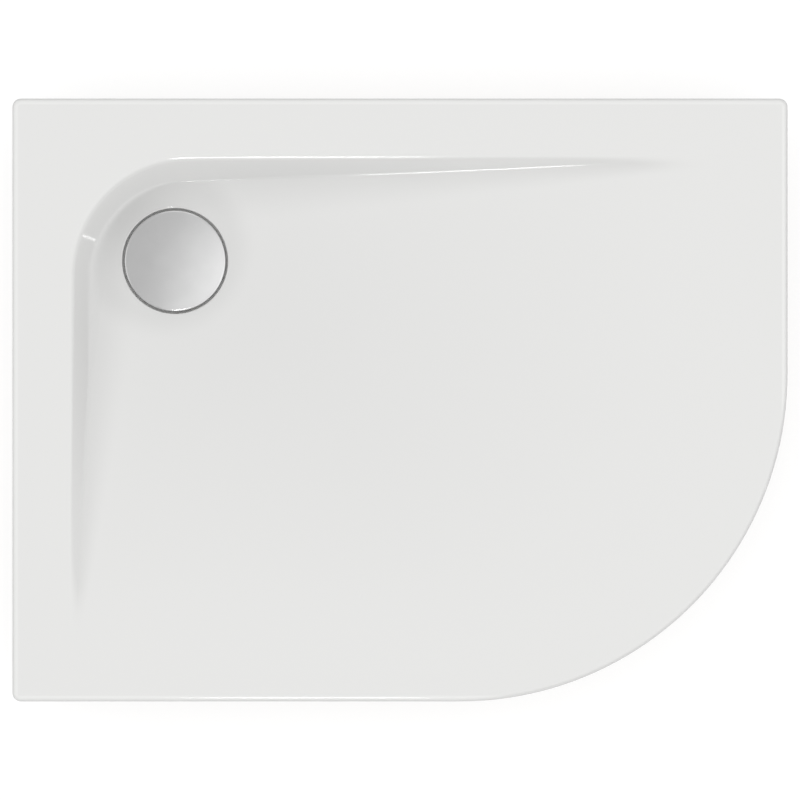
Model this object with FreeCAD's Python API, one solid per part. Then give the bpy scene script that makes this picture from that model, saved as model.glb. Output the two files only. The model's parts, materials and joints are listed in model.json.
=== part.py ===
import FreeCAD, Part
import math
import os
from FreeCAD import Placement, Rotation, Vector

# Low offset-quadrant shower tray of thermoformed acrylic, on five screw legs, with a 90 mm corner waste.
# Millimetres. The origin is on the floor, under the middle of the tray.
# +X runs along the long side to the quadrant's end, +Y to the back wall, +Z up.

# Tray outline and shell
TRAY_LENGTH = 900.0
TRAY_WIDTH = 700.0
QUADRANT_RADIUS = 380.0
CORNER_RADIUS = 10.0
EDGE_RADIUS = 6.0
SHELL_THICKNESS = 4.0
INNER_ROUND_LEAST_SHARE = 0.25
EDGE_TO_CORNER_MOST_SHARE = 0.9
LEG_ROOM = 105.0

# Basin
RIM_WIDTH = 65.0
BASIN_CORNER_RADIUS = 141.0
BASIN_DEPTH = 25.0
WALL_ANGLE = 45.0
WALL_TOP_ROUND = 12.0
WALL_FOOT_ROUND = 10.0
WALL_TIP_WIDTH = 10.0
FLOOR_BLEND_SHARE = 0.18

# Backing of the shell
BOND_GAP = 0.2
CORE_LEAST = 6.8
BOARD_THICKNESS = 8.0
BOARD_SETBACK = 1.0
BOARD_RECESS = 1.0
TRAP_ROOM = 7.0

# Waste recess, cover and clamping ring
DRAIN_INSET = 188.0
COVER_DIAMETER = 118.8
COVER_GAP = 2.1
RECESS_DEPTH = 8.0
RECESS_EDGE_ROUND = 2.0
WASTE_HOLE_DIAMETER = 90.0
COVER_PLATE = 1.6
COVER_RISE = 5.0
COVER_EDGE_ROUND = 3.0
COVER_INLET = 1.5
GASKET_UPPER = 1.5
GASKET_LOWER = 2.0
CLAMP_RING_THICKNESS = 3.0
CLAMP_RING_BEARING = 9.5
CLAMP_REBATE_DEPTH = 1.5
CLAMP_REBATE_WIDTH = 2.0
CLAMP_SCREW_COUNT = 3
CLAMP_SCREW_RADIUS = 2.0
CLAMP_SCREW_HEAD = 3.6
CLAMP_SCREW_COVER = 1.5

# Trap
COLLAR_WIDTH = 11.0
COLLAR_CLEARANCE = 0.5
COLLAR_HEIGHT = 5.5
TRAP_FLANGE_WIDTH = 14.0
TRAP_FLANGE_THICKNESS = 5.0
TRAP_CUP_RADIUS = 55.0
TRAP_WALL = 3.0
TRAP_CUP_BEVEL = 7.0
TRAP_FLOOR_ROOM = 12.0
OUTLET_NUT_ROOM = 2.4
OUTLET_STUB_WALL = 3.4
OUTLET_STUB_LENGTH = 33.0
OUTLET_PIPE_RADIUS = 20.0
OUTLET_PIPE_WALL = 1.8
OUTLET_PIPE_CLEARANCE = 0.6
OUTLET_PIPE_FREE = 61.0
OUTLET_PIPE_OVERLAP = 26.0
OUTLET_MARK_WIDTH = 2.0
OUTLET_MARK_DEPTH = 0.4
OUTLET_PIPE_BEVEL = 2.0
OUTLET_PIPE_BEVEL_DEPTH = 0.7
OUTLET_SEAL_LENGTH = 6.0
OUTLET_WASHER_LENGTH = 2.0
OUTLET_NUT_WALL = 5.0
OUTLET_NUT_SKIRT = 16.0
OUTLET_NUT_LIP = 8.0
OUTLET_NUT_RIBS = 16
OUTLET_NUT_RIB_RADIUS = 1.6
OUTLET_NUT_BEVEL = 1.5

# Removable insert of the trap
INSERT_CLEARANCE = 0.6
INSERT_WALL = 4.4
INSERT_DEPTH = 17.5
INSERT_FLOOR = 4.0
INSERT_LIP_CLEARANCE = 0.3
DIP_TUBE_STEP = 8.4
DIP_TUBE_WALL = 2.0
DIP_TUBE_GAP = 9.0
O_RING_SECTION = 1.3
O_RING_DROP = 9.0
O_RING_CLEARANCE = 0.1
STRAINER_LEDGE = 2.0
STRAINER_DROP = 7.5
STRAINER_THICKNESS = 2.0
STRAINER_SLOTS = 12
STRAINER_SLOT_WIDTH = 3.0
STRAINER_HUB = 4.3
STRAINER_BORDER = 5.7
KNOB_RADIUS = 8.7
KNOB_HEIGHT = 6.5
KNOB_BEVEL = 0.8
CLIP_CLEARANCE = 0.3
CLIP_WALL = 2.5
CLIP_FLANGE_RADIUS = 24.0
CLIP_FLANGE_THICKNESS = 2.0

# Legs
LEG_EDGE_INSET = 60.0
QUADRANT_LEG_INSET = 90.0
CENTRE_LEG_X = 60.0
CENTRE_LEG_Y = 20.0
SOCKET_FLANGE_RADIUS = 35.0
SOCKET_FLANGE_THICKNESS = 6.0
SOCKET_BOSS_RADIUS = 16.0
SOCKET_HEIGHT = 34.0
SOCKET_RIBS = 4
SOCKET_RIB_THICKNESS = 4.0
SOCKET_BEVEL = 1.0
LEG_SCREWS_EACH = 4
LEG_SCREW_CIRCLE = 26.0
LEG_SCREW_RADIUS = 2.0
LEG_SCREW_HEAD = 4.0
LEG_SCREW_COVER = 1.0
SCREW_CLEARANCE = 0.05
SCREW_END_ROOM = 1.0
STUD_RADIUS = 6.0
THREAD_CLEARANCE = 0.08
STUD_ENGAGEMENT = 23.0
STUD_HEX = 16.0
STUD_HEX_HEIGHT = 10.0
STUD_COLLAR_RADIUS = 9.0
STUD_COLLAR_HEIGHT = 4.0
STUD_PIN_RADIUS = 5.0
STUD_PIN_LENGTH = 14.0
STUD_PIN_CLEARANCE = 0.06
LOCK_NUT_HEX = 19.0
LOCK_NUT_HEIGHT = 10.0
HEX_BEVEL_ANGLE = 30.0
FOOT_RADIUS = 33.0
FOOT_EDGE_HEIGHT = 5.0
FOOT_BEVEL = 1.2
FOOT_HUB_RADIUS = 13.0
FOOT_HEIGHT = 22.0
TREAD_RADIUS = 31.0
TREAD_THICKNESS = 3.0

# Levels worked out from the sizes above
SKIRT_BOTTOM = LEG_ROOM
BOARD_BOTTOM = SKIRT_BOTTOM + BOARD_RECESS
BOARD_TOP = BOARD_BOTTOM + BOARD_THICKNESS
BASIN_FLOOR = BOARD_TOP + CORE_LEAST + BOND_GAP + SHELL_THICKNESS
DECK = BASIN_FLOOR + BASIN_DEPTH
RECESS_FLOOR = BASIN_FLOOR - RECESS_DEPTH
RECESS_UNDERSIDE = RECESS_FLOOR - SHELL_THICKNESS
CLAMP_BOTTOM = RECESS_FLOOR + GASKET_UPPER
CLAMP_TOP = CLAMP_BOTTOM + CLAMP_RING_THICKNESS
TRAP_FLANGE_TOP = RECESS_UNDERSIDE - GASKET_LOWER
TRAP_FLANGE_BOTTOM = TRAP_FLANGE_TOP - TRAP_FLANGE_THICKNESS
OVERCUT = 20.0

# Places in plan
LEFT = -TRAY_LENGTH / 2
RIGHT = TRAY_LENGTH / 2
BACK = TRAY_WIDTH / 2
FRONT = -TRAY_WIDTH / 2
DRAIN = Vector(LEFT + DRAIN_INSET, BACK - DRAIN_INSET, 0)
QUADRANT = Vector(RIGHT - QUADRANT_RADIUS, FRONT + QUADRANT_RADIUS, 0)
RIM_LEFT = LEFT + RIM_WIDTH
RIM_RIGHT = RIGHT - RIM_WIDTH
RIM_BACK = BACK - RIM_WIDTH
RIM_FRONT = FRONT + RIM_WIDTH
BASIN_CORNER = Vector(RIM_LEFT + BASIN_CORNER_RADIUS, RIM_BACK - BASIN_CORNER_RADIUS, 0)
RECESS_RADIUS = COVER_DIAMETER / 2 + COVER_GAP
WASTE_HOLE_RADIUS = WASTE_HOLE_DIAMETER / 2
CLAMP_RING_RADIUS = WASTE_HOLE_RADIUS + CLAMP_RING_BEARING
THROAT_RADIUS = WASTE_HOLE_RADIUS - COLLAR_WIDTH
TRAP_FLANGE_RADIUS = WASTE_HOLE_RADIUS + TRAP_FLANGE_WIDTH
CLAMP_SCREW_LENGTH = CLAMP_TOP - TRAP_FLANGE_BOTTOM - CLAMP_SCREW_COVER
LEG_SCREW_LENGTH = SOCKET_FLANGE_THICKNESS + BOARD_THICKNESS - LEG_SCREW_COVER


# Solids about an upright axis, or any axis that a placement gives them
def disc(radius, bottom, top, at=Vector()):
    return Part.makeCylinder(radius, top - bottom, Vector(at.x, at.y, bottom))


def ring(outer, inner, bottom, top, at=Vector()):
    return disc(outer, bottom, top, at).cut(disc(inner, bottom, top, at))


def turned(edges, at=Vector()):
    """A solid turned from a closed profile of edges drawn in the XZ plane."""
    face = Part.Face(Part.Wire(edges))
    solid = face.revolve(Vector(), Vector(0, 0, 1), 360)
    solid = Part.Solid(solid.Shells[0]) if solid.ShapeType != "Solid" else solid
    solid.translate(Vector(at.x, at.y, 0))
    return solid


def profile(points):
    """Closed straight edges through (radius, height) points, passing over a point that repeats."""
    corners = [Vector(r, 0, z) for r, z in points]
    pairs = zip(corners, corners[1:] + corners[:1])
    return [Part.LineSegment(a, b).toShape() for a, b in pairs if a != b]


def bevelled_disc(radius, bottom, top, low=0.0, high=0.0):
    """A disc whose lower and upper edges are bevelled at 45 degrees."""
    side = [(radius - low, bottom), (radius, bottom + low), (radius, top - high), (radius - high, top)]
    return turned(profile([(0, bottom), *side, (0, top)]))


def hexagon(across_flats, bottom, top, at=Vector()):
    """A hexagonal prism whose corners are bevelled at both ends."""
    radius = across_flats / math.sqrt(3)
    flat = across_flats / 2
    fall = (radius - flat) * math.tan(math.radians(HEX_BEVEL_ANGLE))
    side = [(flat, bottom), (radius, bottom + fall), (radius, top - fall), (flat, top)]
    bounds = turned(profile([(0, bottom), *side, (0, top)]), at)
    corners = [
        Vector(at.x + radius * math.cos(k * math.pi / 3), at.y + radius * math.sin(k * math.pi / 3), bottom)
        for k in range(6)
    ]
    face = Part.Face(Part.makePolygon(corners + corners[:1]))
    return face.extrude(Vector(0, 0, top - bottom)).common(bounds)


def around(count, radius, at=Vector(), start=0.0):
    """Points spaced evenly on a circle."""
    angles = [start + 2 * math.pi * k / count for k in range(count)]
    return [at + Vector(radius * math.cos(a), radius * math.sin(a), 0) for a in angles]


def countersunk_screw(shank, head, length, top, at, up):
    """A countersunk screw with its head flush at the height top, facing up (1) or down (-1)."""
    depth = head - shank
    edges = profile([(0, 0), (head, 0), (shank, -depth), (shank, -length + shank), (0, -length)])
    screw = turned(edges)
    if up < 0:
        screw.rotate(Vector(), Vector(1, 0, 0), 180)
    screw.translate(Vector(at.x, at.y, top))
    return screw


# Tray shell: outline, basin surfaces and the two blocks whose difference is the shell
def outline_wire(inset, height):
    """The tray's outline moved inwards: three small corners and one large quadrant at the front right."""
    corner = inner_round(CORNER_RADIUS, inset)
    quadrant = QUADRANT_RADIUS - inset
    left, right, back, front = LEFT + inset, RIGHT - inset, BACK - inset, FRONT + inset
    corners = [
        (left, back, 1, -1, corner),
        (left, front, 1, 1, corner),
        (right, front, -1, 1, quadrant),
        (right, back, -1, -1, corner),
    ]
    arcs = []
    for x, y, sx, sy, r in corners:
        centre = Vector(x + sx * r, y + sy * r, height)
        on_side = centre - Vector(sx * r, 0, 0)
        on_end = centre - Vector(0, sy * r, 0)
        middle = centre - Vector(sx * r, sy * r, 0) * math.sqrt(0.5)
        ends = (on_end, on_side) if sx * sy < 0 else (on_side, on_end)
        arcs.append((ends[0], middle, ends[1]))
    edges = []
    for this, following in zip(arcs, arcs[1:] + arcs[:1]):
        edges.append(Part.Arc(*this).toShape())
        edges.append(Part.LineSegment(this[2], following[0]).toShape())
    return Part.Wire(edges)


# Along the basin the walls and floor follow one parameter, 0 at the waste corner and 1 at the far rim.
# The height falls off as a line that is blended into the level corner and into the deck.
FAR_KNOTS = [0.0, FLOOR_BLEND_SHARE, 1.0 - FLOOR_BLEND_SHARE, 1.0]
FAR_MULTIPLICITIES = [3, 1, 1, 3]
FAR_PLACES = [0.0, FLOOR_BLEND_SHARE / 2, 0.5, 1.0 - FLOOR_BLEND_SHARE / 2, 1.0]
FAR_DEPTHS = [1.0, 1.0, 0.5, 0.0, 0.0]


def wall_sections():
    """The wall's section in three pieces of (inward, down, weight): rim round, slope, foot round."""
    angle = math.radians(WALL_ANGLE)
    half_weight = math.cos(angle / 2)
    fall_of_rounds = (WALL_TOP_ROUND + WALL_FOOT_ROUND) * (1 - math.cos(angle))
    slope = (BASIN_DEPTH - fall_of_rounds) / math.sin(angle)
    top_end = (WALL_TOP_ROUND * math.sin(angle), WALL_TOP_ROUND * (1 - math.cos(angle)))
    foot_start = (top_end[0] + slope * math.cos(angle), top_end[1] + slope * math.sin(angle))
    foot_end = (foot_start[0] + WALL_FOOT_ROUND * math.sin(angle), BASIN_DEPTH)
    middle = ((top_end[0] + foot_start[0]) / 2, (top_end[1] + foot_start[1]) / 2)
    top_corner = (WALL_TOP_ROUND * math.tan(angle / 2), 0.0)
    foot_corner = (foot_end[0] - WALL_FOOT_ROUND * math.tan(angle / 2), BASIN_DEPTH)
    return [
        [(0.0, 0.0, 1.0), (*top_corner, half_weight), (*top_end, 1.0)],
        [(*top_end, 1.0), (*middle, 1.0), (*foot_start, 1.0)],
        [(*foot_start, 1.0), (*foot_corner, half_weight), (*foot_end, 1.0)],
    ]


WALL_SECTIONS = wall_sections()
WALL_WIDTH = WALL_SECTIONS[-1][-1][0]
FAR_WIDTHS = [1.0 - place * (1.0 - WALL_TIP_WIDTH / WALL_WIDTH) for place in FAR_PLACES]


def patch(poles, weights, across_degree, along_far):
    """A spline face: rows of poles across it, columns along it."""
    surface = Part.BSplineSurface()
    far = (FAR_MULTIPLICITIES, FAR_KNOTS) if along_far else ([3, 3], [0.0, 1.0])
    ends = [across_degree + 1, across_degree + 1]
    surface.buildFromPolesMultsKnots(
        poles, ends, far[0], [0.0, 1.0], far[1], False, False, across_degree, 2, weights
    )
    return surface.toShape()


def basin_faces(top):
    """The faces of the basin below a deck at the height top."""
    faces = []
    quarter = math.sqrt(0.5)
    corner = BASIN_CORNER
    for section in WALL_SECTIONS:
        turn = []
        back = []
        left = []
        for inward, down, _ in section:
            radius = BASIN_CORNER_RADIUS - inward
            turn.append([
                corner + Vector(0, radius, top - down),
                corner + Vector(-radius, radius, top - down),
                corner + Vector(-radius, 0, top - down),
            ])
            far = list(zip(FAR_PLACES, FAR_WIDTHS, FAR_DEPTHS))
            back.append([
                Vector(corner.x + p * (RIM_RIGHT - corner.x), RIM_BACK - w * inward, top - d * down)
                for p, w, d in far
            ])
            left.append([
                Vector(RIM_LEFT + w * inward, corner.y - p * (corner.y - RIM_FRONT), top - d * down)
                for p, w, d in far
            ])
        weights = [weight for _, _, weight in section]
        faces.append(patch(turn, [[w, w * quarter, w] for w in weights], 2, False))
        faces.append(patch(back, [[w] * len(FAR_PLACES) for w in weights], 2, True))
        faces.append(patch(left, [[w] * len(FAR_PLACES) for w in weights], 2, True))

    heights = [top - d * BASIN_DEPTH for d in FAR_DEPTHS]
    right_end = Vector(RIM_RIGHT, QUADRANT.y, 0)
    front_end = Vector(QUADRANT.x, RIM_FRONT, 0)
    far_corner = Vector(RIM_RIGHT, RIM_FRONT, 0)

    def ray(target):
        return [corner + (target - corner) * p + Vector(0, 0, z) for p, z in zip(FAR_PLACES, heights)]

    back_foot = [
        Vector(corner.x + p * (RIM_RIGHT - corner.x), RIM_BACK - w * WALL_WIDTH, z)
        for p, w, z in zip(FAR_PLACES, FAR_WIDTHS, heights)
    ]
    left_foot = [
        Vector(RIM_LEFT + w * WALL_WIDTH, corner.y - p * (corner.y - RIM_FRONT), z)
        for p, w, z in zip(FAR_PLACES, FAR_WIDTHS, heights)
    ]
    flat = [1.0] * len(FAR_PLACES)
    faces.append(patch([back_foot, ray(right_end)], [flat, flat], 1, True))
    faces.append(patch([ray(front_end), left_foot], [flat, flat], 1, True))
    swing = [ray(right_end), ray(far_corner), ray(front_end)]
    faces.append(patch(swing, [flat, [quarter] * len(FAR_PLACES), flat], 2, True))

    foot = BASIN_CORNER_RADIUS - WALL_WIDTH
    centre = corner + Vector(0, 0, top - BASIN_DEPTH)
    on_back = centre + Vector(0, foot, 0)
    on_left = centre + Vector(-foot, 0, 0)
    middle = centre + Vector(-foot, foot, 0) * quarter
    level = [
        Part.LineSegment(centre, on_back).toShape(),
        Part.Arc(on_back, middle, on_left).toShape(),
        Part.LineSegment(on_left, centre).toShape(),
    ]
    faces.append(Part.Face(Part.Wire(level)))
    return faces


def sewn(faces):
    shape = Part.Compound(faces)
    shape.sewShape()
    return shape


def free_edges(shape):
    """The edges that belong to one face only."""
    seen = {}
    for face in shape.Faces:
        for edge in face.Edges:
            seen.setdefault(edge.hashCode(), []).append(edge)
    return [edges[0] for edges in seen.values() if len(edges) == 1 and not edges[0].Degenerated]


def inner_round(radius, inset):
    """The radius of a round that is moved inwards, which keeps a least share of itself."""
    return max(radius - inset, radius * INNER_ROUND_LEAST_SHARE)


def tray_block(inset, drop, bottom):
    """A solid block under the tray's upper surface, moved inwards by inset and down by drop."""
    top = DECK - drop
    most = EDGE_TO_CORNER_MOST_SHARE * inner_round(CORNER_RADIUS, inset)
    round_radius = min(inner_round(EDGE_RADIUS, inset), most)
    prism = Part.Face(outline_wire(inset, bottom)).extrude(Vector(0, 0, top - bottom))
    upper = [e for e in prism.Edges if all(abs(v.Z - top) < 1e-6 for v in e.Vertexes)]
    prism = prism.makeFillet(round_radius, upper)
    deck = next(f for f in prism.Faces if abs(f.CenterOfMass.z - top) < 1e-6)
    sides = [f for f in prism.Faces if not f.isSame(deck)]
    basin = sewn(basin_faces(top))
    rim = Part.Wire(Part.__sortEdges__(free_edges(basin)))
    deck_with_hole = Part.makeFace([deck.OuterWire, rim], "Part::FaceMakerBullseye")
    closed = sewn(sides + basin.Faces + deck_with_hole.Faces)
    return Part.Solid(Part.Shell(closed.Faces))


def recess_edges(shell):
    """The edges round the mouth of the waste recess."""
    found = []
    for edge in shell.Edges:
        ends = (edge.FirstParameter, edge.LastParameter)
        points = [edge.valueAt(ends[0] + share * (ends[1] - ends[0])) for share in (0.1, 0.5, 0.9)]
        on_wall = all(abs(math.hypot(p.x - DRAIN.x, p.y - DRAIN.y) - RECESS_RADIUS) < 1e-3 for p in points)
        upright = edge.BoundBox.XLength + edge.BoundBox.YLength < 1e-3
        if on_wall and not upright and min(p.z for p in points) > RECESS_FLOOR + RECESS_DEPTH / 2:
            found.append(edge)
    return found


def tray_shell():
    recess_top = DECK + OVERCUT
    outer = tray_block(0.0, 0.0, SKIRT_BOTTOM)
    hollow = tray_block(SHELL_THICKNESS, SHELL_THICKNESS, SKIRT_BOTTOM - OVERCUT)
    hollow = hollow.cut(disc(RECESS_RADIUS + SHELL_THICKNESS, RECESS_UNDERSIDE, recess_top, DRAIN))
    shell = outer.cut(hollow)
    shell = shell.cut(disc(RECESS_RADIUS, RECESS_FLOOR, recess_top, DRAIN))
    shell = shell.makeFillet(RECESS_EDGE_ROUND, recess_edges(shell))
    return shell.cut(disc(WASTE_HOLE_RADIUS, RECESS_UNDERSIDE - OVERCUT, recess_top, DRAIN))


TRAP_HOLE_RADIUS = RECESS_RADIUS + SHELL_THICKNESS + TRAP_ROOM


def backing_core():
    inset = SHELL_THICKNESS + BOND_GAP
    core = tray_block(inset, inset, BOARD_TOP)
    return core.cut(disc(TRAP_HOLE_RADIUS, BOARD_TOP - OVERCUT, DECK + OVERCUT, DRAIN))


def leg_places():
    quadrant_reach = (QUADRANT_RADIUS - QUADRANT_LEG_INSET) * math.sqrt(0.5)
    return {
        "back_left": Vector(LEFT + LEG_EDGE_INSET, BACK - LEG_EDGE_INSET, 0),
        "back_right": Vector(RIGHT - LEG_EDGE_INSET, BACK - LEG_EDGE_INSET, 0),
        "front_left": Vector(LEFT + LEG_EDGE_INSET, FRONT + LEG_EDGE_INSET, 0),
        "quadrant": QUADRANT + Vector(quadrant_reach, -quadrant_reach, 0),
        "centre": Vector(CENTRE_LEG_X, CENTRE_LEG_Y, 0),
    }


LEGS = leg_places()
SCREW_START = math.pi / LEG_SCREWS_EACH


def leg_screw_places():
    return [p for leg in LEGS.values() for p in around(LEG_SCREWS_EACH, LEG_SCREW_CIRCLE, leg, SCREW_START)]


def base_board():
    inset = SHELL_THICKNESS + BOARD_SETBACK
    board = Part.Face(outline_wire(inset, BOARD_BOTTOM)).extrude(Vector(0, 0, BOARD_THICKNESS))
    board = board.cut(disc(TRAP_HOLE_RADIUS, BOARD_BOTTOM - OVERCUT, BOARD_TOP + OVERCUT, DRAIN))
    pilot = LEG_SCREW_RADIUS + SCREW_CLEARANCE
    depth = LEG_SCREW_LENGTH - SOCKET_FLANGE_THICKNESS + SCREW_CLEARANCE
    pilots = [disc(pilot, BOARD_BOTTOM - OVERCUT, BOARD_BOTTOM + depth, p) for p in leg_screw_places()]
    return board.cut(Part.Compound(pilots))


# Waste fitting, from the cover down
COVER_RIM = CLAMP_TOP + COVER_INLET
COVER_EDGE_TOP = COVER_RIM + COVER_EDGE_ROUND
COVER_RADIUS = COVER_DIAMETER / 2
DOME_BASE = COVER_RADIUS - COVER_EDGE_ROUND
DOME_RADIUS = (DOME_BASE**2 + COVER_RISE**2) / (2 * COVER_RISE)
DOME_CENTRE = COVER_EDGE_TOP + COVER_RISE - DOME_RADIUS


def dome_height(radius, thickness=0.0):
    return DOME_CENTRE + math.sqrt((DOME_RADIUS - thickness) ** 2 - radius**2)


def waste_cover():
    """A pressed, slightly domed plate with a rounded edge turned down."""
    inner = DOME_BASE + COVER_EDGE_ROUND - COVER_PLATE
    inner_top = dome_height(DOME_BASE, COVER_PLATE)
    turn = COVER_EDGE_ROUND * (1 - math.sqrt(0.5))
    crown = Vector(0, 0, dome_height(0.0))
    shoulder = Vector(DOME_BASE, 0, dome_height(DOME_BASE))
    half = DOME_BASE / 2
    edges = [
        Part.Arc(crown, Vector(half, 0, dome_height(half)), shoulder).toShape(),
        Part.Arc(
            shoulder,
            Vector(COVER_RADIUS - turn, 0, COVER_EDGE_TOP - turn),
            Vector(COVER_RADIUS, 0, COVER_RIM),
        ).toShape(),
        Part.LineSegment(Vector(COVER_RADIUS, 0, COVER_RIM), Vector(inner, 0, COVER_RIM)).toShape(),
        Part.LineSegment(Vector(inner, 0, COVER_RIM), Vector(DOME_BASE, 0, inner_top)).toShape(),
        Part.Arc(
            Vector(DOME_BASE, 0, inner_top),
            Vector(half, 0, dome_height(half, COVER_PLATE)),
            Vector(0, 0, dome_height(0.0, COVER_PLATE)),
        ).toShape(),
        Part.LineSegment(Vector(0, 0, dome_height(0.0, COVER_PLATE)), crown).toShape(),
    ]
    return turned(edges, DRAIN)


INSERT_LIP_BOTTOM = CLAMP_TOP - CLAMP_REBATE_DEPTH
INSERT_RADIUS = THROAT_RADIUS - INSERT_CLEARANCE
INSERT_BOTTOM = INSERT_LIP_BOTTOM - INSERT_DEPTH
DIP_TUBE_RADIUS = INSERT_RADIUS - DIP_TUBE_STEP
STRAINER_TOP = CLAMP_TOP - STRAINER_DROP
STRAINER_BOTTOM = STRAINER_TOP - STRAINER_THICKNESS
KNOB_TOP = STRAINER_TOP + KNOB_HEIGHT
O_RING_CENTRE = THROAT_RADIUS - O_RING_CLEARANCE - O_RING_SECTION


def cover_clip():
    """A flanged sleeve under the cover that pushes over the strainer's knob."""
    bore = KNOB_RADIUS + CLIP_CLEARANCE
    under = dome_height(CLIP_FLANGE_RADIUS, COVER_PLATE + BOND_GAP)
    crown = dome_height(0.0, COVER_PLATE + BOND_GAP)
    between = (bore + CLIP_FLANGE_RADIUS) / 2
    sleeve = bore + CLIP_WALL
    bottom = STRAINER_TOP + CLIP_CLEARANCE
    flange = under - CLIP_FLANGE_THICKNESS
    points = [(CLIP_FLANGE_RADIUS, under), (CLIP_FLANGE_RADIUS, flange), (sleeve, flange), (sleeve, bottom),
              (bore, bottom), (bore, KNOB_TOP + CLIP_CLEARANCE), (0, KNOB_TOP + CLIP_CLEARANCE), (0, crown)]
    edges = profile(points)[:-1]
    dome = Part.Arc(
        Vector(0, 0, crown),
        Vector(between, 0, dome_height(between, COVER_PLATE + BOND_GAP)),
        Vector(CLIP_FLANGE_RADIUS, 0, under),
    ).toShape()
    return turned(edges + [dome], DRAIN)


def trap_insert():
    """The lift-out cup: a lip on the clamping ring, a sealed body, and the dip tube below."""
    lip = THROAT_RADIUS + CLAMP_REBATE_WIDTH - INSERT_LIP_CLEARANCE
    bore = INSERT_RADIUS - INSERT_WALL
    ledge = bore - STRAINER_LEDGE
    dip_inner = DIP_TUBE_RADIUS - DIP_TUBE_WALL
    dip_bottom = TRAP_FLOOR_ROOM + TRAP_WALL + DIP_TUBE_GAP
    cup_floor = INSERT_BOTTOM + INSERT_FLOOR
    points = [
        (lip, CLAMP_TOP), (lip, INSERT_LIP_BOTTOM), (INSERT_RADIUS, INSERT_LIP_BOTTOM),
        (INSERT_RADIUS, INSERT_BOTTOM), (DIP_TUBE_RADIUS, INSERT_BOTTOM), (DIP_TUBE_RADIUS, dip_bottom),
        (dip_inner, dip_bottom), (dip_inner, cup_floor), (ledge, cup_floor), (ledge, STRAINER_BOTTOM),
        (bore, STRAINER_BOTTOM), (bore, CLAMP_TOP),
    ]
    groove = INSERT_LIP_BOTTOM - O_RING_DROP
    groove_floor = O_RING_CENTRE - O_RING_SECTION - O_RING_CLEARANCE
    half = O_RING_SECTION + O_RING_CLEARANCE
    cut = ring(INSERT_RADIUS + OVERCUT, groove_floor, groove - half, groove + half, DRAIN)
    return turned(profile(points), DRAIN).cut(cut)


def insert_o_ring():
    seal = Part.makeTorus(O_RING_CENTRE, O_RING_SECTION)
    seal.translate(DRAIN + Vector(0, 0, INSERT_LIP_BOTTOM - O_RING_DROP))
    return seal


def hair_strainer():
    """A slotted plate on the insert's ledge, with a knob to lift it by."""
    radius = INSERT_RADIUS - INSERT_WALL - CLIP_CLEARANCE
    knob = bevelled_disc(KNOB_RADIUS, STRAINER_TOP, KNOB_TOP, high=KNOB_BEVEL)
    plate = disc(radius, STRAINER_BOTTOM, STRAINER_TOP).fuse(knob)
    half = STRAINER_SLOT_WIDTH / 2
    inner = KNOB_RADIUS + STRAINER_HUB
    outer = radius - STRAINER_BORDER
    slots = []
    for k in range(STRAINER_SLOTS):
        start = Vector(inner, -half, STRAINER_BOTTOM - OVERCUT)
        slot = Part.makeBox(outer - inner, STRAINER_SLOT_WIDTH, OVERCUT + STRAINER_THICKNESS + half, start)
        for end in (inner, outer):
            slot = slot.fuse(disc(half, STRAINER_BOTTOM - OVERCUT, STRAINER_TOP + half, Vector(end, 0, 0)))
        slot.rotate(Vector(), Vector(0, 0, 1), 360.0 * k / STRAINER_SLOTS)
        slots.append(slot)
    plate = plate.cut(Part.Compound(slots))
    plate.translate(DRAIN)
    return plate


CLAMP_SCREW_CIRCLE = (THROAT_RADIUS + CLAMP_REBATE_WIDTH + WASTE_HOLE_RADIUS) / 2


def clamp_screw_places():
    return around(CLAMP_SCREW_COUNT, CLAMP_SCREW_CIRCLE, DRAIN, math.pi / 2)


def clamp_screw_holes():
    """The room for the clamping screws in the ring and the trap's collar."""
    shank = CLAMP_SCREW_RADIUS + SCREW_CLEARANCE
    head = CLAMP_SCREW_HEAD + SCREW_CLEARANCE
    length = CLAMP_SCREW_LENGTH + SCREW_END_ROOM
    holes = [countersunk_screw(shank, head, length, CLAMP_TOP, p, 1) for p in clamp_screw_places()]
    return Part.Compound(holes)


def clamp_ring():
    body = ring(CLAMP_RING_RADIUS, THROAT_RADIUS, CLAMP_BOTTOM, CLAMP_TOP, DRAIN)
    rebate = disc(THROAT_RADIUS + CLAMP_REBATE_WIDTH, INSERT_LIP_BOTTOM, CLAMP_TOP + OVERCUT, DRAIN)
    return body.cut(rebate).cut(clamp_screw_holes())


def clamp_screws():
    return Part.Compound([
        countersunk_screw(CLAMP_SCREW_RADIUS, CLAMP_SCREW_HEAD, CLAMP_SCREW_LENGTH, CLAMP_TOP, p, 1)
        for p in clamp_screw_places()
    ])


def upper_gasket():
    return ring(CLAMP_RING_RADIUS, WASTE_HOLE_RADIUS, RECESS_FLOOR, CLAMP_BOTTOM, DRAIN)


def lower_gasket():
    return ring(TRAP_FLANGE_RADIUS, WASTE_HOLE_RADIUS, TRAP_FLANGE_TOP, RECESS_UNDERSIDE, DRAIN)


# The outlet runs from the trap towards the back wall
OUTLET_BORE = OUTLET_PIPE_RADIUS + OUTLET_PIPE_CLEARANCE
OUTLET_STUB_RADIUS = OUTLET_BORE + OUTLET_STUB_WALL
OUTLET_STUB_END = TRAP_CUP_RADIUS + OUTLET_STUB_LENGTH
OUTLET_NUT_RADIUS = OUTLET_STUB_RADIUS + OUTLET_NUT_WALL
OUTLET_HEIGHT = BOARD_BOTTOM - OUTLET_NUT_ROOM - OUTLET_NUT_RADIUS - OUTLET_NUT_RIB_RADIUS
SEAL_END = OUTLET_STUB_END + OUTLET_SEAL_LENGTH
WASHER_END = SEAL_END + OUTLET_WASHER_LENGTH
NUT_END = WASHER_END + OUTLET_NUT_LIP
OUTLET_PIPE_END = NUT_END + OUTLET_PIPE_FREE


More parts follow.
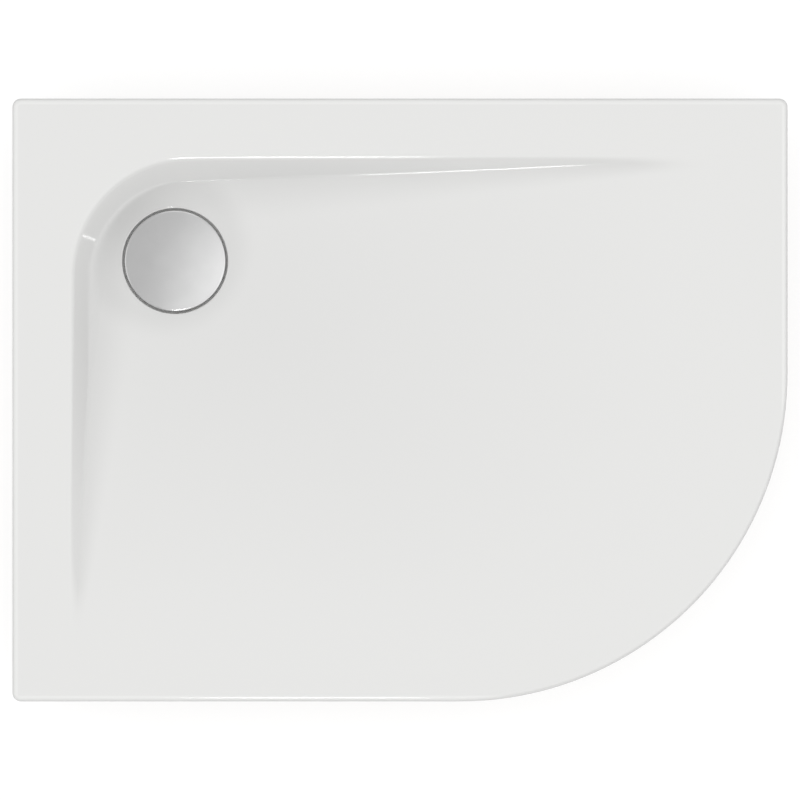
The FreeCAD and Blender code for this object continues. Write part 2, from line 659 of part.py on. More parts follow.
def on_outlet(shape):
    """Lays a shape that was made about the Z axis along the outlet, which points to +Y."""
    shape.Placement = Placement(
        Vector(DRAIN.x, DRAIN.y, OUTLET_HEIGHT), Rotation(Vector(0, 0, 1), Vector(0, 1, 0))
    )
    return shape


def trap_body():
    """The water cup with its flange and collar, and the threaded outlet stub."""
    collar = WASTE_HOLE_RADIUS - COLLAR_CLEARANCE
    collar_top = TRAP_FLANGE_TOP + COLLAR_HEIGHT
    ceiling = TRAP_FLANGE_BOTTOM - TRAP_WALL
    inner = TRAP_CUP_RADIUS - TRAP_WALL
    bed = TRAP_FLOOR_ROOM + TRAP_WALL
    inner_bevel = TRAP_CUP_BEVEL - (2 - math.sqrt(2)) * TRAP_WALL
    points = [
        (0, TRAP_FLOOR_ROOM), (TRAP_CUP_RADIUS - TRAP_CUP_BEVEL, TRAP_FLOOR_ROOM),
        (TRAP_CUP_RADIUS, TRAP_FLOOR_ROOM + TRAP_CUP_BEVEL), (TRAP_CUP_RADIUS, TRAP_FLANGE_BOTTOM),
        (TRAP_FLANGE_RADIUS, TRAP_FLANGE_BOTTOM), (TRAP_FLANGE_RADIUS, TRAP_FLANGE_TOP),
        (collar, TRAP_FLANGE_TOP), (collar, collar_top), (THROAT_RADIUS, collar_top),
        (THROAT_RADIUS, ceiling), (inner, ceiling), (inner, bed + inner_bevel), (inner - inner_bevel, bed),
        (0, bed),
    ]
    body = turned(profile(points), DRAIN)
    stub = on_outlet(disc(OUTLET_STUB_RADIUS, 0.0, OUTLET_STUB_END))
    body = body.fuse(stub).cut(disc(inner, bed + inner_bevel, ceiling, DRAIN))
    body = body.cut(on_outlet(disc(OUTLET_BORE, 0.0, OUTLET_STUB_END + OVERCUT)))
    return body.cut(clamp_screw_holes())


def outlet_seal():
    """A rubber ring squeezed between the stub and the washer."""
    return on_outlet(ring(OUTLET_STUB_RADIUS, OUTLET_PIPE_RADIUS + BOND_GAP, OUTLET_STUB_END, SEAL_END))


def outlet_washer():
    return on_outlet(ring(OUTLET_STUB_RADIUS, OUTLET_PIPE_RADIUS + BOND_GAP, SEAL_END, WASHER_END))


def outlet_nut():
    start = OUTLET_STUB_END - OUTLET_NUT_SKIRT
    nut = bevelled_disc(OUTLET_NUT_RADIUS, start, NUT_END, OUTLET_NUT_BEVEL, OUTLET_NUT_BEVEL)
    ribs = [
        disc(OUTLET_NUT_RIB_RADIUS, start + OUTLET_NUT_BEVEL, NUT_END - OUTLET_NUT_BEVEL, place)
        for place in around(OUTLET_NUT_RIBS, OUTLET_NUT_RADIUS)
    ]
    nut = nut.fuse(ribs)
    nut = nut.cut(disc(OUTLET_STUB_RADIUS + BOND_GAP, start - OVERCUT, WASHER_END))
    return on_outlet(nut.cut(disc(OUTLET_PIPE_RADIUS + BOND_GAP, start - OVERCUT, NUT_END + OVERCUT)))


def outlet_pipe():
    """The pipe in the stub, with a bevelled end and a groove that marks how deep it is pushed in."""
    start = OUTLET_STUB_END - OUTLET_PIPE_OVERLAP
    bore = OUTLET_PIPE_RADIUS - OUTLET_PIPE_WALL
    pipe = turned(profile([
        (bore, start), (OUTLET_PIPE_RADIUS, start),
        (OUTLET_PIPE_RADIUS, OUTLET_PIPE_END - OUTLET_PIPE_BEVEL),
        (OUTLET_PIPE_RADIUS - OUTLET_PIPE_BEVEL_DEPTH, OUTLET_PIPE_END), (bore, OUTLET_PIPE_END),
    ]))
    groove = OUTLET_PIPE_RADIUS - OUTLET_MARK_DEPTH
    mark = ring(OUTLET_PIPE_RADIUS + OVERCUT, groove, NUT_END, NUT_END + OUTLET_MARK_WIDTH)
    return on_outlet(pipe.cut(mark))


# Legs
SOCKET_BOTTOM = BOARD_BOTTOM - SOCKET_HEIGHT
NUT_BOTTOM = SOCKET_BOTTOM - LOCK_NUT_HEIGHT
STUD_TOP = NUT_BOTTOM + STUD_ENGAGEMENT
COLLAR_TOP = FOOT_HEIGHT + STUD_COLLAR_HEIGHT
HEX_TOP = COLLAR_TOP + STUD_HEX_HEIGHT


def leg_socket(at):
    """A moulded socket under the board: flange, threaded boss and ribs."""
    flange_bottom = BOARD_BOTTOM - SOCKET_FLANGE_THICKNESS
    body = bevelled_disc(SOCKET_FLANGE_RADIUS, flange_bottom, BOARD_BOTTOM, low=SOCKET_BEVEL)
    body = body.fuse(bevelled_disc(SOCKET_BOSS_RADIUS, SOCKET_BOTTOM, BOARD_BOTTOM, low=SOCKET_BEVEL))
    half = SOCKET_RIB_THICKNESS / 2
    for k in range(SOCKET_RIBS):
        corners = [
            Vector(0, -half, flange_bottom),
            Vector(SOCKET_FLANGE_RADIUS - SOCKET_RIB_THICKNESS, -half, flange_bottom),
            Vector(SOCKET_BOSS_RADIUS, -half, SOCKET_BOTTOM + SOCKET_RIB_THICKNESS),
            Vector(0, -half, SOCKET_BOTTOM + SOCKET_RIB_THICKNESS),
        ]
        rib = Part.Face(Part.makePolygon(corners + corners[:1])).extrude(Vector(0, SOCKET_RIB_THICKNESS, 0))
        rib.rotate(Vector(), Vector(0, 0, 1), 360.0 * k / SOCKET_RIBS)
        body = body.fuse(rib)
    body = body.cut(disc(STUD_RADIUS + THREAD_CLEARANCE, SOCKET_BOTTOM - OVERCUT, BOARD_BOTTOM + OVERCUT))
    shank = LEG_SCREW_RADIUS + SCREW_CLEARANCE
    head = LEG_SCREW_HEAD + SCREW_CLEARANCE
    for place in around(LEG_SCREWS_EACH, LEG_SCREW_CIRCLE, start=SCREW_START):
        body = body.cut(countersunk_screw(shank, head, LEG_SCREW_LENGTH, flange_bottom, place, -1))
    body.translate(at)
    return body.removeSplitter()


def leg_screws():
    top = BOARD_BOTTOM - SOCKET_FLANGE_THICKNESS
    return Part.Compound([
        countersunk_screw(LEG_SCREW_RADIUS, LEG_SCREW_HEAD, LEG_SCREW_LENGTH, top, p, -1)
        for p in leg_screw_places()
    ])


def lock_nut(at):
    nut = hexagon(LOCK_NUT_HEX, NUT_BOTTOM, SOCKET_BOTTOM, at)
    return nut.cut(disc(STUD_RADIUS + THREAD_CLEARANCE, NUT_BOTTOM - OVERCUT, SOCKET_BOTTOM + OVERCUT, at))


def leg_stud(at):
    """The screwed stud: a pin that turns in the foot, a collar, a spanner hexagon and the thread."""
    stud = disc(STUD_PIN_RADIUS, FOOT_HEIGHT - STUD_PIN_LENGTH + STUD_PIN_CLEARANCE, COLLAR_TOP, at)
    stud = stud.fuse(disc(STUD_COLLAR_RADIUS, FOOT_HEIGHT, COLLAR_TOP, at))
    stud = stud.fuse(hexagon(STUD_HEX, COLLAR_TOP, HEX_TOP, at))
    return stud.fuse(disc(STUD_RADIUS, HEX_TOP, STUD_TOP, at)).removeSplitter()


def foot_pad(at):
    bed = FOOT_HEIGHT - STUD_PIN_LENGTH
    bore = STUD_PIN_RADIUS + STUD_PIN_CLEARANCE
    edge_top = TREAD_THICKNESS + FOOT_EDGE_HEIGHT
    points = [
        (0, TREAD_THICKNESS), (FOOT_RADIUS - FOOT_BEVEL, TREAD_THICKNESS),
        (FOOT_RADIUS, TREAD_THICKNESS + FOOT_BEVEL), (FOOT_RADIUS, edge_top), (FOOT_HUB_RADIUS, FOOT_HEIGHT),
        (bore, FOOT_HEIGHT), (bore, bed), (0, bed),
    ]
    return turned(profile(points), at)


def foot_tread(at):
    return disc(TREAD_RADIUS, 0.0, TREAD_THICKNESS, at)


def build():
    nodes = {
        "tray_shell": tray_shell(),
        "backing_core": backing_core(),
        "base_board": base_board(),
        "waste_cover": waste_cover(),
        "cover_clip": cover_clip(),
        "hair_strainer": hair_strainer(),
        "trap_insert": trap_insert(),
        "insert_o_ring": insert_o_ring(),
        "clamp_ring": clamp_ring(),
        "clamp_screws": clamp_screws(),
        "upper_gasket": upper_gasket(),
        "lower_gasket": lower_gasket(),
        "trap_body": trap_body(),
        "outlet_seal": outlet_seal(),
        "outlet_washer": outlet_washer(),
        "outlet_nut": outlet_nut(),
        "outlet_pipe": outlet_pipe(),
        "leg_screws": leg_screws(),
    }
    for place, at in LEGS.items():
        nodes[f"leg_socket_{place}"] = leg_socket(at)
        nodes[f"lock_nut_{place}"] = lock_nut(at)
        nodes[f"leg_stud_{place}"] = leg_stud(at)
        nodes[f"foot_pad_{place}"] = foot_pad(at)
        nodes[f"foot_tread_{place}"] = foot_tread(at)
    return nodes


os.makedirs("parts", exist_ok=True)
for node, shape in build().items():
    shape.exportStep(f"parts/{node}.step")
    print(node, shape.ShapeType, len(shape.Solids), shape.isValid(), round(shape.Volume / 1000.0, 2), "cm3")
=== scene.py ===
import json
import math

import bmesh
import bpy
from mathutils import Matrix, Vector


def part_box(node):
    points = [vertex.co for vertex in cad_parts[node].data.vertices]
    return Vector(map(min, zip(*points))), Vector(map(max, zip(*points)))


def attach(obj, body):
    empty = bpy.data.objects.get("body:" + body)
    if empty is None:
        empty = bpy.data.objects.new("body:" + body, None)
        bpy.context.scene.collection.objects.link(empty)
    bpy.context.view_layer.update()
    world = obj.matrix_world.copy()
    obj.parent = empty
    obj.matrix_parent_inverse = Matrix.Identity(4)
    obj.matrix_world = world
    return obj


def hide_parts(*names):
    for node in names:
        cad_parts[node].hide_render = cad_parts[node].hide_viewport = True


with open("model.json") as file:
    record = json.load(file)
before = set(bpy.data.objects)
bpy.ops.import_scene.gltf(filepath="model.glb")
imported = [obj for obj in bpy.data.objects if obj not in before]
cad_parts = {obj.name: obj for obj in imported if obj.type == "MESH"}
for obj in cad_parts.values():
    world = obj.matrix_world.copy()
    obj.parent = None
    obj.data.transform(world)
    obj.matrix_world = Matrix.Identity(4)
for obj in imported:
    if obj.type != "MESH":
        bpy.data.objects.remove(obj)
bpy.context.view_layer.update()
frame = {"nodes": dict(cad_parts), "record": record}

# Looks of the shower tray: fine shell, threaded studs, cross screws, materials, light and camera
SLOTS = {part["node"]: part["material_slot"] for part in frame["record"]["subparts"]}
MM = 0.001

# Sizes of the shell that the frame's boxes don't give
QUADRANT_RADIUS = 380 * MM
CORNER_RADIUS = 10 * MM
EDGE_RADIUS = 6 * MM
SHELL = 4 * MM
INNER_EDGE_RADIUS = 2 * MM
RIM_WIDTH = 65 * MM
BASIN_CORNER_RADIUS = 141 * MM
BASIN_DEPTH = 25 * MM
WALL_ANGLE = math.radians(45)
WALL_TOP_ROUND = 12 * MM
WALL_WIDTH = 34.1 * MM
WALL_TIP_WIDTH = 8.5 * MM
WALL_TIP_SHARE = WALL_TIP_WIDTH / WALL_WIDTH
COVER_GAP = 2.1 * MM
RECESS_DEPTH = 8 * MM
RECESS_EDGE_ROUND = 2 * MM
WASTE_HOLE_RADIUS = 45 * MM

# Round at the foot of the walls; where it changes is given in shares of a wall's length
FOOT_ROUND_AT_WASTE = 18 * MM
FOOT_ROUND_AT_LEFT = 30 * MM
FOOT_ROUND_AT_BACK = 3 * MM
FOOT_ROUND_ALONG = 9 * MM
FOOT_ROUND_AT_TIP = 22 * MM
FOOT_ROUND_RUN = 0.34
TIP_FROM = 0.42
TIP_RUN = 0.38

# Share of the floor's length over which it curves at either end of its fall
FLOOR_BLEND = 0.18

# Places worked out from the frame
SHELL_LOW, SHELL_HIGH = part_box("tray_shell")
LEFT, FRONT, SKIRT_BOTTOM = SHELL_LOW
RIGHT, BACK, DECK = SHELL_HIGH
COVER_LOW, COVER_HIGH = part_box("waste_cover")
DRAIN = (COVER_LOW + COVER_HIGH) / 2
UNDER_DECK = DECK - SHELL
BASIN_FLOOR = DECK - BASIN_DEPTH
RECESS_FLOOR = BASIN_FLOOR - RECESS_DEPTH
RECESS_RADIUS = (COVER_HIGH.x - COVER_LOW.x) / 2 + COVER_GAP
RECESS_MOUTH = RECESS_RADIUS + RECESS_EDGE_ROUND
RECESS_OUTSIDE = RECESS_RADIUS + SHELL
RIM_LEFT = LEFT + RIM_WIDTH
RIM_RIGHT = RIGHT - RIM_WIDTH
RIM_BACK = BACK - RIM_WIDTH
RIM_FRONT = FRONT + RIM_WIDTH
CORNER_X = RIM_LEFT + BASIN_CORNER_RADIUS
CORNER_Y = RIM_BACK - BASIN_CORNER_RADIUS
QUADRANT_X = RIGHT - QUADRANT_RADIUS
QUADRANT_Y = FRONT + QUADRANT_RADIUS

# Mesh counts of the shell; the near share of the walls lies beside the floor about the waste
NEAR_SHARE = 0.2
NEAR_STEPS = 14
FAR_STEPS = 64
FLOOR_STEPS = 16
SWING_STEPS = 44
TURN_STEPS = 72
ROUND_STEPS = 10
SLOPE_STEPS = 5
POLAR_STEPS = 16
DECK_STEPS = 5
DECK_SUPPORT = 0.03
CORNER_STEPS = 10
SIDE_STEPS = 3

# How meshes are welded and shaded
WELD = 0.002 * MM
SHARP_ANGLE = math.radians(40)


def spread(count, start=0.0, end=1.0):
    """Evenly spaced numbers from start to end."""
    return [start + (end - start) * k / count for k in range(count + 1)]


def part_way(first, last, share):
    """The value at a share of the way from first to last."""
    return first + (last - first) * share


def eased(first, last, share):
    """A value that goes smoothly from first to last as share goes from 0 to 1."""
    share = min(1.0, max(0.0, share))
    return part_way(first, last, share * share * (3 - 2 * share))


def polar(x, y, radius, angle):
    """The point at a radius and an angle about (x, y)."""
    return x + radius * math.cos(angle), y + radius * math.sin(angle)


def way_back(points):
    """The points in reverse order, without the last one, where the way back starts."""
    return points[-2::-1]


NEAR = spread(NEAR_STEPS, 0, NEAR_SHARE)
FAR = spread(FAR_STEPS, NEAR_SHARE, 1)
WALL_RUN = NEAR + FAR[1:]
TURN = spread(TURN_STEPS, math.pi, math.pi / 2)
QUARTER = spread(ROUND_STEPS, 0, math.pi / 2)


# Shell of the tray: walls and floor of the basin
def fall_share(far):
    """How much of the basin's depth is left, from the waste corner (0) to the far rim (1)."""
    curve = 1 / (2 * FLOOR_BLEND * (1 - FLOOR_BLEND))
    if far < FLOOR_BLEND:
        return 1 - curve * far**2
    if far > 1 - FLOOR_BLEND:
        return curve * (1 - far) ** 2
    return 1 - (far - FLOOR_BLEND / 2) / (1 - FLOOR_BLEND)


def wall_section(far, foot_round):
    """Points of the basin wall as (inward, down): rim round, slope and foot round."""
    rounds = WALL_TOP_ROUND + foot_round
    slope = (BASIN_DEPTH - rounds * (1 - math.cos(WALL_ANGLE))) / math.tan(WALL_ANGLE)
    width = rounds * math.sin(WALL_ANGLE) + slope
    angles = spread(ROUND_STEPS, 0, WALL_ANGLE)
    top = [(WALL_TOP_ROUND * math.sin(a), WALL_TOP_ROUND * (1 - math.cos(a))) for a in angles]
    foot = [
        (width - foot_round * math.sin(a), BASIN_DEPTH - foot_round * (1 - math.cos(a)))
        for a in reversed(angles)
    ]
    (x0, z0), (x1, z1) = top[-1], foot[0]
    slant = [(part_way(x0, x1, s), part_way(z0, z1, s)) for s in spread(SLOPE_STEPS)[1:-1]]
    share = 1 - far * (1 - WALL_TIP_SHARE)
    depth = fall_share(far)
    return [(p * share, q * depth) for p, q in top + slant + foot]


def back_wall(far):
    """The wall along the back, with a foot that is tight beside the corner and wide at the tip."""
    x = part_way(CORNER_X, RIM_RIGHT, far)
    foot_round = eased(FOOT_ROUND_AT_BACK, FOOT_ROUND_ALONG, far / FOOT_ROUND_RUN)
    foot_round = eased(foot_round, FOOT_ROUND_AT_TIP, (far - TIP_FROM) / TIP_RUN)
    return [(x, RIM_BACK - p, DECK - q) for p, q in wall_section(far, foot_round)]


def left_wall(far):
    """The wall along the left side, with a foot that is wide beside the corner."""
    y = part_way(CORNER_Y, RIM_FRONT, far)
    foot_round = eased(FOOT_ROUND_AT_LEFT, FOOT_ROUND_ALONG, far / FOOT_ROUND_RUN)
    return [(RIM_LEFT + p, y, DECK - q) for p, q in wall_section(far, foot_round)]


def corner_wall(angle):
    """The wall round the waste corner, at an angle about the corner's centre."""
    turned = 4 * angle / math.pi - 3
    end_round = FOOT_ROUND_AT_LEFT if turned > 0 else FOOT_ROUND_AT_BACK
    foot_round = eased(FOOT_ROUND_AT_WASTE, end_round, abs(turned))
    return [
        (*polar(CORNER_X, CORNER_Y, BASIN_CORNER_RADIUS - p, angle), DECK - q)
        for p, q in wall_section(0.0, foot_round)
    ]


def floor_far(x, y):
    """Where a point of the floor lies between the waste corner (0) and the far rim (1)."""
    dx, dy = x - CORNER_X, y - CORNER_Y
    if dx <= 0 and dy >= 0:
        return 0.0
    right_x, right_y = RIM_RIGHT - CORNER_X, QUADRANT_Y - CORNER_Y
    front_x, front_y = QUADRANT_X - CORNER_X, RIM_FRONT - CORNER_Y
    if dx > 0 and right_x * dy - right_y * dx >= 0:
        return dx / right_x
    if dy < 0 and front_x * dy - front_y * dx <= 0:
        return dy / front_y
    # Between the two straight runs, the point lies on a circle of equal height
    reach = QUADRANT_RADIUS - RIM_WIDTH
    square = front_x**2 + right_y**2 - reach**2
    half = dx * front_x + dy * right_y
    return (half - math.sqrt(half**2 - (dx**2 + dy**2) * square)) / square


def floor_height(x, y):
    """The height of the basin's floor at a point."""
    return DECK - BASIN_DEPTH * fall_share(floor_far(x, y))


def floor_line(far):
    """A line of equal height across the floor, from the foot of the back wall to that of the left wall."""
    z = DECK - BASIN_DEPTH * fall_share(far)
    x, top, _ = back_wall(far)[-1]
    side, y, _ = left_wall(far)[-1]
    turn_x = part_way(CORNER_X, QUADRANT_X, far)
    turn_y = part_way(CORNER_Y, QUADRANT_Y, far)
    radius = far * (QUADRANT_RADIUS - RIM_WIDTH)
    line = [(x, part_way(top, turn_y, s), z) for s in spread(FLOOR_STEPS)]
    line += [(*polar(turn_x, turn_y, radius, a), z) for a in spread(SWING_STEPS, 0, -math.pi / 2)[1:]]
    return line + [(part_way(turn_x, side, s), y, z) for s in spread(FLOOR_STEPS)[1:]]


def basin_row(far):
    """A row across the basin: down the back wall, over the floor and up the left wall."""
    return back_wall(far) + floor_line(far)[1:] + way_back(left_wall(far))


def floor_ring():
    """The closed edge of the floor about the waste, along the feet of the walls."""
    ring = [back_wall(far)[-1] for far in NEAR] + floor_line(NEAR_SHARE)[1:]
    ring += way_back([left_wall(far)[-1] for far in NEAR])
    return ring + [corner_wall(angle)[-1] for angle in TURN[1:]]


def floor_row(ring, hole, share):
    """A row of the floor about the waste, between its hole (0) and the ring (1)."""
    row = []
    for x, y, _ in ring:
        reach = math.hypot(x - DRAIN.x, y - DRAIN.y)
        scale = part_way(hole, reach, share) / reach
        x, y = part_way(DRAIN.x, x, scale), part_way(DRAIN.y, y, scale)
        row.append((x, y, floor_height(x, y)))
    return row


def basin_patches(drop, hole):
    """The basin's surface, lowered by drop, down to a round hole about the waste."""
    ring = floor_ring()
    patches = [
        [basin_row(far) for far in FAR],
        [back_wall(far) for far in NEAR],
        [left_wall(far) for far in NEAR],
        [corner_wall(angle) for angle in TURN],
        [floor_row(ring, hole, share) for share in spread(POLAR_STEPS)],
    ]
    return [[[(x, y, z - drop) for x, y, z in row] for row in rows] for rows in patches]


# Shell of the tray: deck, skirt and recess
def outline_arc(x, y, sx, sy, inset):
    """The round corner of the moved outline at (x, y); sx and sy point into the tray."""
    radius = CORNER_RADIUS - inset
    cx, cy = x + sx * CORNER_RADIUS, y + sy * CORNER_RADIUS
    return [
        (cx - sx * radius * math.cos(a), cy - sy * radius * math.sin(a))
        for a in spread(CORNER_STEPS, 0, math.pi / 2)
    ]


def outline_corner(x, y, inward, inset):
    """The outline that faces a sharp corner of the rim: a round corner and two straight runs."""
    cx, cy = x + inward * CORNER_RADIUS, y + inward * CORNER_RADIUS
    rim_x, rim_y = x + inward * RIM_WIDTH, y + inward * RIM_WIDTH
    shares = spread(SIDE_STEPS)[1:]
    on_side = [(x + inward * inset, part_way(cy, rim_y, s)) for s in shares]
    on_end = [(part_way(cx, rim_x, s), y + inward * inset) for s in shares]
    return on_end[::-1] + outline_arc(x, y, inward, inward, inset)[::-1] + on_side


def turn_outline(inset):
    """The outline that faces the basin's round corner, with as many points as that corner has."""
    straight = (TURN_STEPS - CORNER_STEPS) // 2
    cx, cy = LEFT + CORNER_RADIUS, BACK - CORNER_RADIUS
    rising = [(LEFT + inset, part_way(CORNER_Y, cy, s)) for s in spread(straight)[:-1]]
    along = [(part_way(cx, CORNER_X, s), BACK - inset) for s in spread(straight)[1:]]
    return rising + outline_arc(LEFT, BACK, 1, -1, inset) + along


def far_outline(x, y, inset):
    """The point of the moved outline that faces a point of the far rim."""
    if x > QUADRANT_X and y < QUADRANT_Y:
        dx, dy = x - QUADRANT_X, y - QUADRANT_Y
        reach, length = QUADRANT_RADIUS - inset, math.hypot(dx, dy)
        return QUADRANT_X + dx * reach / length, QUADRANT_Y + dy * reach / length
    if y >= QUADRANT_Y:
        return RIGHT - inset, y
    return x, FRONT + inset


def rim_loop():
    """The rim of the basin, whose two sharp corners repeat for each point of the corners they face."""
    repeats = CORNER_STEPS + 2 * SIDE_STEPS
    loop = [back_wall(far)[0] for far in WALL_RUN]
    loop += [(RIM_RIGHT, RIM_BACK, DECK)] * repeats
    loop += basin_row(1.0)[1:]
    loop += [(RIM_LEFT, RIM_FRONT, DECK)] * repeats
    loop += way_back([left_wall(far)[0] for far in WALL_RUN])
    return loop + [corner_wall(angle)[0] for angle in TURN[1:]]


def outline_loop(inset):
    """The tray's outline moved inwards, with one point for each point of the rim."""
    loop = [(back_wall(far)[0][0], BACK - inset) for far in WALL_RUN]
    loop += outline_corner(RIGHT, BACK, -1, inset)[1:]
    loop += [far_outline(x, y, inset) for x, y, _ in basin_row(1.0)[1:]]
    loop += outline_corner(LEFT, FRONT, 1, inset)[1:]
    loop += way_back([(LEFT + inset, left_wall(far)[0][1]) for far in WALL_RUN])
    return loop + turn_outline(inset)[1:]


def outline_row(inset, z):
    """The moved outline at a height."""
    return [(x, y, z) for x, y in outline_loop(inset)]


def deck_rows(z, inset):
    """Rows at a height from the rim of the basin out to the moved outline."""
    shares = [0, DECK_SUPPORT, *spread(DECK_STEPS)[1:-1], 1 - DECK_SUPPORT, 1]
    pairs = list(zip(rim_loop(), outline_loop(inset)))
    return [[(part_way(a[0], b[0], s), part_way(a[1], b[1], s), z) for a, b in pairs] for s in shares]


def skirt_rows():
    """Rows over the deck's edge, down the skirt, and up its inner side to the deck's underside."""
    rows = [
        outline_row(EDGE_RADIUS * (1 - math.sin(a)), DECK - EDGE_RADIUS * (1 - math.cos(a)))
        for a in QUARTER
    ]
    rows += [outline_row(inset, SKIRT_BOTTOM) for inset in (0.0, SHELL)]
    for a in QUARTER:
        inset = SHELL + INNER_EDGE_RADIUS * (1 - math.cos(a))
        rows.append(outline_row(inset, UNDER_DECK - INNER_EDGE_RADIUS * (1 - math.sin(a))))
    return rows


def recess_rows():
    """Rows from the floor down the recess, through the waste hole and up the recess's underside."""
    directions = [Vector((x - DRAIN.x, y - DRAIN.y, 0)).normalized() for x, y, _ in floor_ring()]

    def row(radius, heights):
        return [(DRAIN.x + d.x * radius, DRAIN.y + d.y * radius, z) for d, z in zip(directions, heights)]

    def floor_at(radius):
        return [floor_height(DRAIN.x + d.x * radius, DRAIN.y + d.y * radius) for d in directions]

    rows = []
    tops = floor_at(RECESS_MOUTH)
    for a in QUARTER:
        drop = RECESS_EDGE_ROUND * (1 - math.cos(a))
        rows.append(row(RECESS_MOUTH - RECESS_EDGE_ROUND * math.sin(a), [z - drop for z in tops]))
    level = [RECESS_FLOOR] * len(directions)
    underside = [RECESS_FLOOR - SHELL] * len(directions)
    rows += [
        row(RECESS_RADIUS, level),
        row(WASTE_HOLE_RADIUS, level),
        row(WASTE_HOLE_RADIUS, underside),
        row(RECESS_OUTSIDE, underside),
        row(RECESS_OUTSIDE, [z - SHELL for z in floor_at(RECESS_OUTSIDE)]),
    ]
    return rows


def shell_patches():
    """All the faces of the shell, as grids of points."""
    upper = basin_patches(0.0, RECESS_MOUTH) + [deck_rows(DECK, EDGE_RADIUS)]
    lower = basin_patches(SHELL, RECESS_OUTSIDE) + [deck_rows(UNDER_DECK, SHELL + INNER_EDGE_RADIUS)]
    return upper + lower + [skirt_rows(), recess_rows()]


# Pieces that stand for a node of the frame
def grid_faces(rows, first):
    """The faces between the points of a grid, whose first point has the number first."""
    width = len(rows[0])
    corners = (0, 1, width + 1, width)
    starts = [first + i * width + j for i in range(len(rows) - 1) for j in range(width - 1)]
    return [[start + corner for corner in corners] for start in starts]


def piece_from_patches(name, patches):
    """A welded, smooth-shaded mesh piece from grids of points."""
    points, faces = [], []
    for rows in patches:
        faces += grid_faces(rows, len(points))
        for row in rows:
            points += row
    mesh = bpy.data.meshes.new(name)
    mesh.from_pydata(points, [], faces)
    work = bmesh.new()
    work.from_mesh(mesh)
    bmesh.ops.remove_doubles(work, verts=work.verts, dist=WELD)
    bmesh.ops.recalc_face_normals(work, faces=work.faces)
    for face in work.faces:
        face.smooth = True
    work.to_mesh(mesh)
    work.free()
    mesh.set_sharp_from_angle(angle=SHARP_ANGLE)
    piece = bpy.data.objects.new(name, mesh)
    bpy.context.scene.collection.objects.link(piece)
    return piece


new_pieces = {}


def stand_for(node, name, patches, body):
    """A piece that takes the place of a node and moves with its body."""
    piece = piece_from_patches(name, patches)
    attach(piece, body)
    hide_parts(node)
    new_pieces[node] = piece


stand_for("tray_shell", "tray_shell_fine", shell_patches(), "tray")

# Studs of the legs, with a real thread; crest and root are shares of the pitch
THREAD_RADIUS = 6 * MM
THREAD_PITCH = 1.75 * MM
THREAD_DEPTH = 0.95 * MM
THREAD_CREST = 0.15
THREAD_ROOT = 0.75
THREAD_SINK = 0.15 * MM
THREAD_POINTS = 36
PIN_RADIUS = 5 * MM
PIN_LENGTH = 14 * MM
STUD_COLLAR_RADIUS = 9 * MM
STUD_COLLAR_HEIGHT = 4 * MM
STUD_HEX_FLAT = 8 * MM
STUD_HEX_HEIGHT = 10 * MM
HEX_BEVEL = math.tan(math.radians(30))
HEX_BEVEL_REACH = STUD_HEX_HEIGHT / 4
STUD_CHAMFER = 0.5 * MM
STUD_POINTS = 72
BEVEL_RINGS = 6
STUD_NODE = "leg_stud_"


def ring(x, y, z, radius_at):
    """A closed ring of points, with its radius as a function of the angle."""
    return [(*polar(x, y, radius_at(a), a), z) for a in spread(STUD_POINTS, 0, 2 * math.pi)]


def round_ring(x, y, z, radius):
    """A ring of one radius."""
    return ring(x, y, z, lambda angle: radius)


def hex_ring(x, y, z, from_end):
    """A ring of a hexagon whose corners are turned off near its ends."""
    limit = STUD_HEX_FLAT + from_end / HEX_BEVEL
    sixth = math.pi / 3
    return ring(x, y, z, lambda angle: min(STUD_HEX_FLAT / math.cos(angle % sixth - sixth / 2), limit))


def thread_rows(x, y, low, high):
    """The ridge of a right-hand thread, which runs out at both ends."""
    steps = int((high - low) / THREAD_PITCH) * THREAD_POINTS
    root, crest = THREAD_ROOT * THREAD_PITCH / 2, THREAD_CREST * THREAD_PITCH / 2
    ridge = THREAD_DEPTH + THREAD_SINK
    inner = THREAD_RADIUS - ridge
    rows = []
    for k in range(steps + 1):
        angle = 2 * math.pi * k / THREAD_POINTS
        z = low + root + (high - low - 2 * root) * k / steps
        full = min(1.0, k / THREAD_POINTS, (steps - k) / THREAD_POINTS)
        outer = inner + ridge * full
        profile = [(inner, -root), (outer, -crest), (outer, crest), (inner, root), (inner, -root)]
        rows.append([(*polar(x, y, radius, angle), z + up * full) for radius, up in profile])
    return rows


